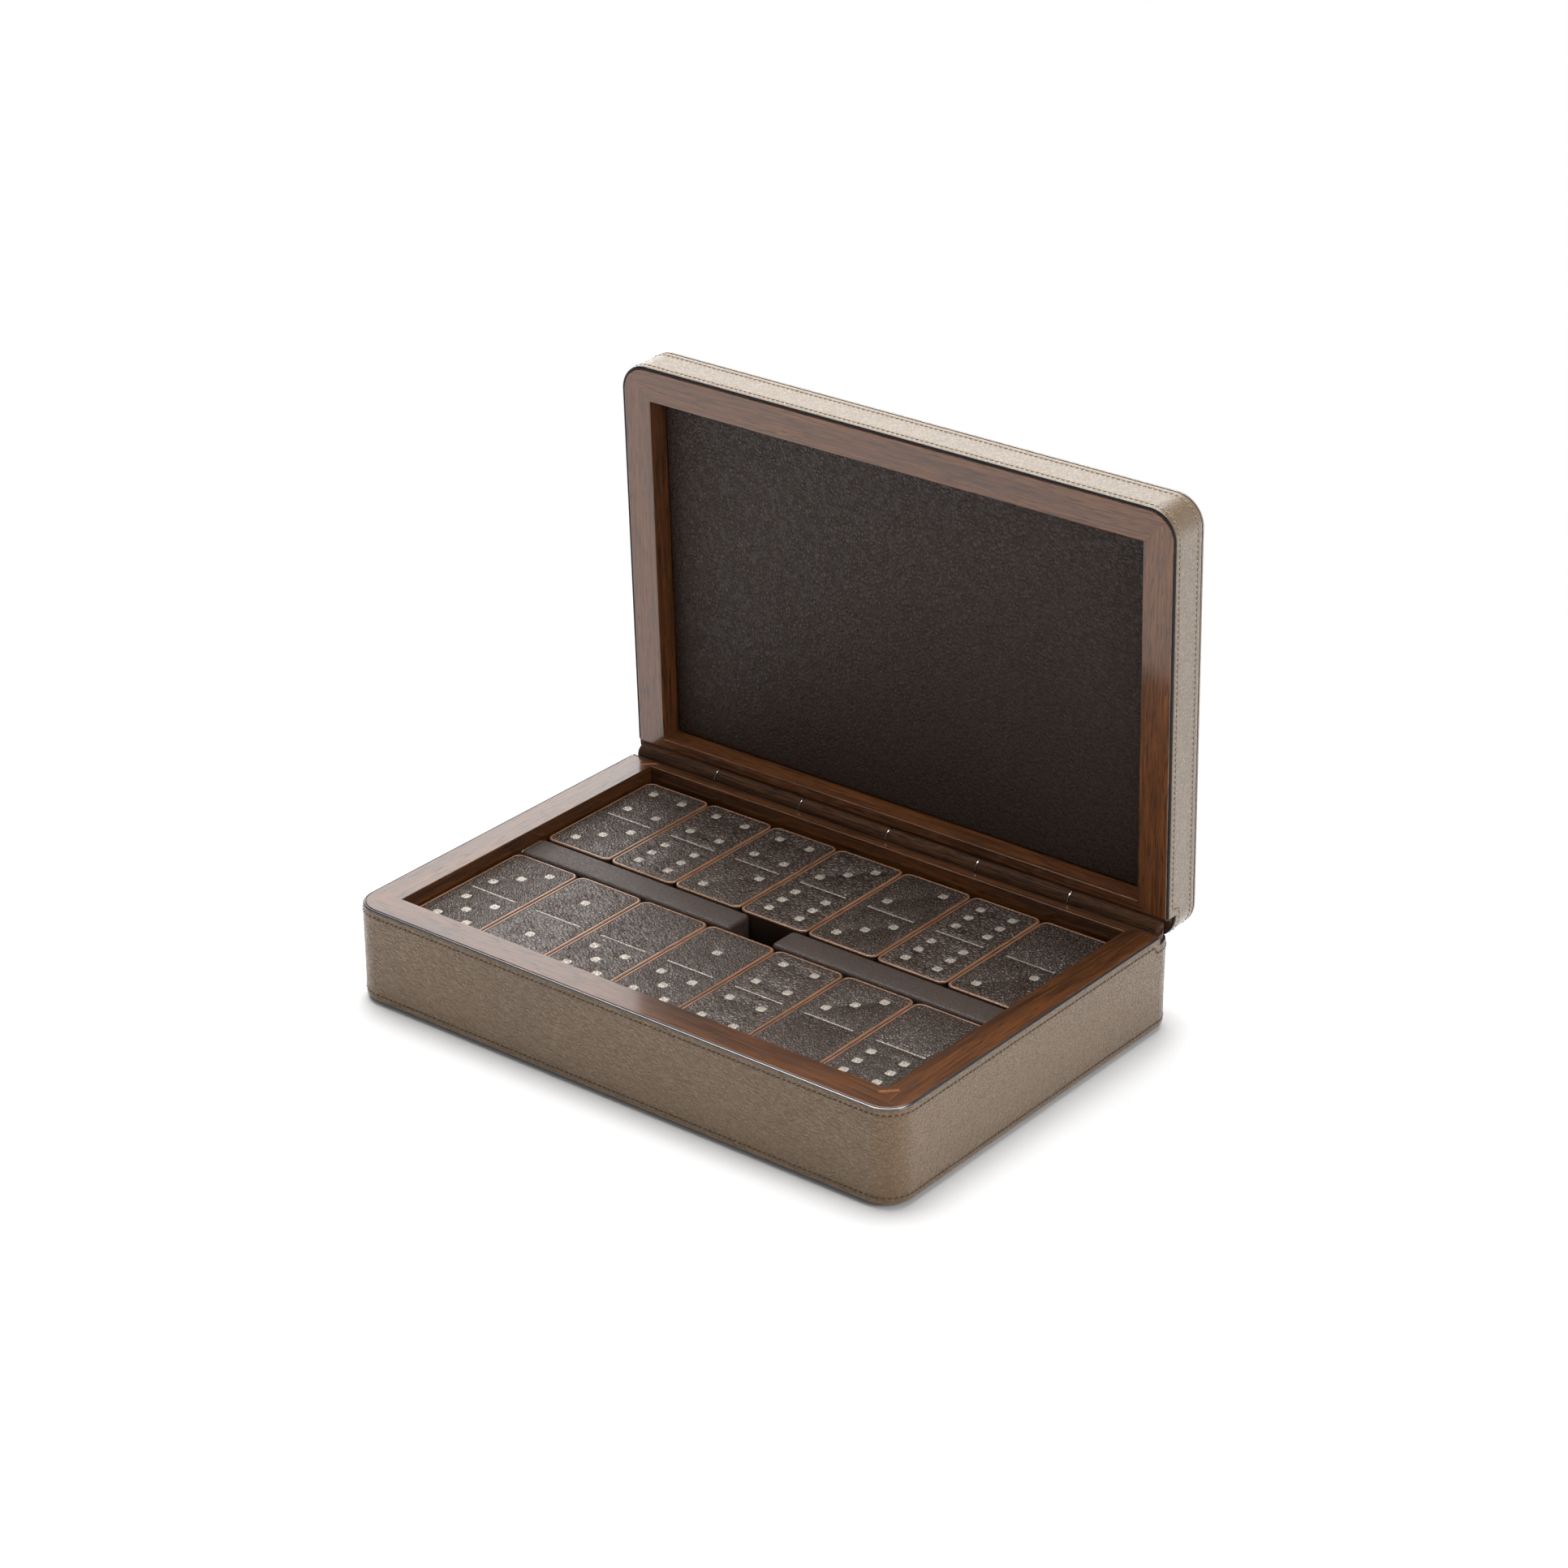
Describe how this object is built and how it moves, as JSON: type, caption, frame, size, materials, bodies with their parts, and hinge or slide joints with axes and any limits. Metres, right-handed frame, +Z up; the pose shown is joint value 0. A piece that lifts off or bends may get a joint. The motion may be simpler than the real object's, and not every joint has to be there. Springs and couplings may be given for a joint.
{
  "type": "domino storage box",
  "caption": "Leather covered walnut case with a lined lid on a wooden barrel hinge, holding a set of dominoes in two layers either side of a divider.",
  "frame": {"origin": "middle of the flat face that the case stands on", "axes": "+X along the hinge, +Y from the front to the hinged back, +Z up"},
  "size_m": [0.33, 0.2418, 0.2706],
  "materials": {
    "walnut": "satin walnut",
    "domino_walnut": "satin walnut rim, leather face with pale stamped spots",
    "pale_wood": "satin",
    "plywood": "bare",
    "taupe_leather": "pebbled, painted edges, dark stitching",
    "dark_leather": "pebbled",
    "bar_leather": "smooth, fine grained",
    "suede": "suede",
    "foil": "matte pale foil, stamped into leather",
    "thread": "waxed thread",
    "edge_paint": "painted leather edge",
    "steel": "bright"
  },
  "bodies": {
    "base": {"base_leather": "taupe_leather", "base_front_wall": "walnut", "base_back_wall": "walnut", "base_left_wall": "walnut", "base_right_wall": "walnut", "base_mitre_keys": "pale_wood", "bottom_board": "plywood", "standing_panel": "suede", "floor_board": "plywood", "floor_lining": "suede", "divider_core_left": "plywood", "divider_core_right": "plywood", "divider_leather_left": "bar_leather", "divider_leather_right": "bar_leather", "base_hinge_strip": "walnut", "hinge_pin": "steel", "hinge_pin_plug": "walnut", "hinge_washers": "steel"},
    "lid": {"lid_leather": "taupe_leather", "lid_top_leather": "taupe_leather", "lid_top_board": "plywood", "lid_front_rail": "walnut", "lid_back_rail": "walnut", "lid_left_rail": "walnut", "lid_right_rail": "walnut", "lid_lining_board": "plywood", "lid_lining_leather": "dark_leather", "lid_hinge_strip": "walnut"},
    "domino_4_3": {"domino_4_3": "domino_walnut"},
    "domino_4_6": {"domino_4_6": "domino_walnut"},
    "domino_4_2": {"domino_4_2": "domino_walnut"},
    "domino_3_6": {"domino_3_6": "domino_walnut"},
    "domino_2_3": {"domino_2_3": "domino_walnut"},
    "domino_6_6": {"domino_6_6": "domino_walnut"},
    "domino_0_2": {"domino_0_2": "domino_walnut"},
    "domino_3_5": {"domino_3_5": "domino_walnut"},
    "domino_1_1": {"domino_1_1": "domino_walnut"},
    "domino_0_5": {"domino_0_5": "domino_walnut"},
    "domino_1_5": {"domino_1_5": "domino_walnut"},
    "domino_4_4": {"domino_4_4": "domino_walnut"},
    "domino_3_0": {"domino_3_0": "domino_walnut"},
    "domino_0_6": {"domino_0_6": "domino_walnut"},
    "domino_0_0": {"domino_0_0": "domino_walnut"},
    "domino_0_1": {"domino_0_1": "domino_walnut"},
    "domino_0_4": {"domino_0_4": "domino_walnut"},
    "domino_1_2": {"domino_1_2": "domino_walnut"},
    "domino_1_3": {"domino_1_3": "domino_walnut"},
    "domino_1_4": {"domino_1_4": "domino_walnut"},
    "domino_1_6": {"domino_1_6": "domino_walnut"},
    "domino_2_2": {"domino_2_2": "domino_walnut"},
    "domino_2_5": {"domino_2_5": "domino_walnut"},
    "domino_2_6": {"domino_2_6": "domino_walnut"},
    "domino_3_3": {"domino_3_3": "domino_walnut"},
    "domino_4_5": {"domino_4_5": "domino_walnut"},
    "domino_5_5": {"domino_5_5": "domino_walnut"},
    "domino_5_6": {"domino_5_6": "domino_walnut"}
  },
  "joints": [
    {"name": "lid_hinge", "type": "hinge", "parent": "base", "child": "lid", "pos_m": [0, 0.1043, 0.0521], "axis": [-1, 0, 0], "range_deg": [-87.8, 0]},
    {"name": "lift_4_3", "type": "slide", "parent": "base", "child": "domino_4_3", "axis": [0, 0, 1], "range_m": [0, 0.05]},
    {"name": "lift_0_0", "type": "slide", "parent": "base", "child": "domino_0_0", "axis": [0, 0, 1], "range_m": [0, 0.025]},
    {"name": "lift_4_6", "type": "slide", "parent": "base", "child": "domino_4_6", "axis": [0, 0, 1], "range_m": [0, 0.05]},
    {"name": "lift_0_1", "type": "slide", "parent": "base", "child": "domino_0_1", "axis": [0, 0, 1], "range_m": [0, 0.025]},
    {"name": "lift_4_2", "type": "slide", "parent": "base", "child": "domino_4_2", "axis": [0, 0, 1], "range_m": [0, 0.05]},
    {"name": "lift_0_4", "type": "slide", "parent": "base", "child": "domino_0_4", "axis": [0, 0, 1], "range_m": [0, 0.025]},
    {"name": "lift_3_6", "type": "slide", "parent": "base", "child": "domino_3_6", "axis": [0, 0, 1], "range_m": [0, 0.05]},
    {"name": "lift_1_2", "type": "slide", "parent": "base", "child": "domino_1_2", "axis": [0, 0, 1], "range_m": [0, 0.025]},
    {"name": "lift_2_3", "type": "slide", "parent": "base", "child": "domino_2_3", "axis": [0, 0, 1], "range_m": [0, 0.05]},
    {"name": "lift_1_3", "type": "slide", "parent": "base", "child": "domino_1_3", "axis": [0, 0, 1], "range_m": [0, 0.025]},
    {"name": "lift_6_6", "type": "slide", "parent": "base", "child": "domino_6_6", "axis": [0, 0, 1], "range_m": [0, 0.05]},
    {"name": "lift_1_4", "type": "slide", "parent": "base", "child": "domino_1_4", "axis": [0, 0, 1], "range_m": [0, 0.025]},
    {"name": "lift_0_2", "type": "slide", "parent": "base", "child": "domino_0_2", "axis": [0, 0, 1], "range_m": [0, 0.05]},
    {"name": "lift_1_6", "type": "slide", "parent": "base", "child": "domino_1_6", "axis": [0, 0, 1], "range_m": [0, 0.025]},
    {"name": "lift_3_5", "type": "slide", "parent": "base", "child": "domino_3_5", "axis": [0, 0, 1], "range_m": [0, 0.05]},
    {"name": "lift_2_2", "type": "slide", "parent": "base", "child": "domino_2_2", "axis": [0, 0, 1], "range_m": [0, 0.025]},
    {"name": "lift_1_1", "type": "slide", "parent": "base", "child": "domino_1_1", "axis": [0, 0, 1], "range_m": [0, 0.05]},
    {"name": "lift_2_5", "type": "slide", "parent": "base", "child": "domino_2_5", "axis": [0, 0, 1], "range_m": [0, 0.025]},
    {"name": "lift_0_5", "type": "slide", "parent": "base", "child": "domino_0_5", "axis": [0, 0, 1], "range_m": [0, 0.05]},
    {"name": "lift_2_6", "type": "slide", "parent": "base", "child": "domino_2_6", "axis": [0, 0, 1], "range_m": [0, 0.025]},
    {"name": "lift_1_5", "type": "slide", "parent": "base", "child": "domino_1_5", "axis": [0, 0, 1], "range_m": [0, 0.05]},
    {"name": "lift_3_3", "type": "slide", "parent": "base", "child": "domino_3_3", "axis": [0, 0, 1], "range_m": [0, 0.025]},
    {"name": "lift_4_4", "type": "slide", "parent": "base", "child": "domino_4_4", "axis": [0, 0, 1], "range_m": [0, 0.05]},
    {"name": "lift_4_5", "type": "slide", "parent": "base", "child": "domino_4_5", "axis": [0, 0, 1], "range_m": [0, 0.025]},
    {"name": "lift_3_0", "type": "slide", "parent": "base", "child": "domino_3_0", "axis": [0, 0, 1], "range_m": [0, 0.05]},
    {"name": "lift_5_5", "type": "slide", "parent": "base", "child": "domino_5_5", "axis": [0, 0, 1], "range_m": [0, 0.025]},
    {"name": "lift_0_6", "type": "slide", "parent": "base", "child": "domino_0_6", "axis": [0, 0, 1], "range_m": [0, 0.05]},
    {"name": "lift_5_6", "type": "slide", "parent": "base", "child": "domino_5_6", "axis": [0, 0, 1], "range_m": [0, 0.025]}
  ],
  "couplings": [
    {"joint": "lift_0_0", "follows": "lift_4_3", "ratio": 0.5},
    {"joint": "lift_0_1", "follows": "lift_4_6", "ratio": 0.5},
    {"joint": "lift_0_4", "follows": "lift_4_2", "ratio": 0.5},
    {"joint": "lift_1_2", "follows": "lift_3_6", "ratio": 0.5},
    {"joint": "lift_1_3", "follows": "lift_2_3", "ratio": 0.5},
    {"joint": "lift_1_4", "follows": "lift_6_6", "ratio": 0.5},
    {"joint": "lift_1_6", "follows": "lift_0_2", "ratio": 0.5},
    {"joint": "lift_2_2", "follows": "lift_3_5", "ratio": 0.5},
    {"joint": "lift_2_5", "follows": "lift_1_1", "ratio": 0.5},
    {"joint": "lift_2_6", "follows": "lift_0_5", "ratio": 0.5},
    {"joint": "lift_3_3", "follows": "lift_1_5", "ratio": 0.5},
    {"joint": "lift_4_5", "follows": "lift_4_4", "ratio": 0.5},
    {"joint": "lift_5_5", "follows": "lift_3_0", "ratio": 0.5},
    {"joint": "lift_5_6", "follows": "lift_0_6", "ratio": 0.5}
  ]
}
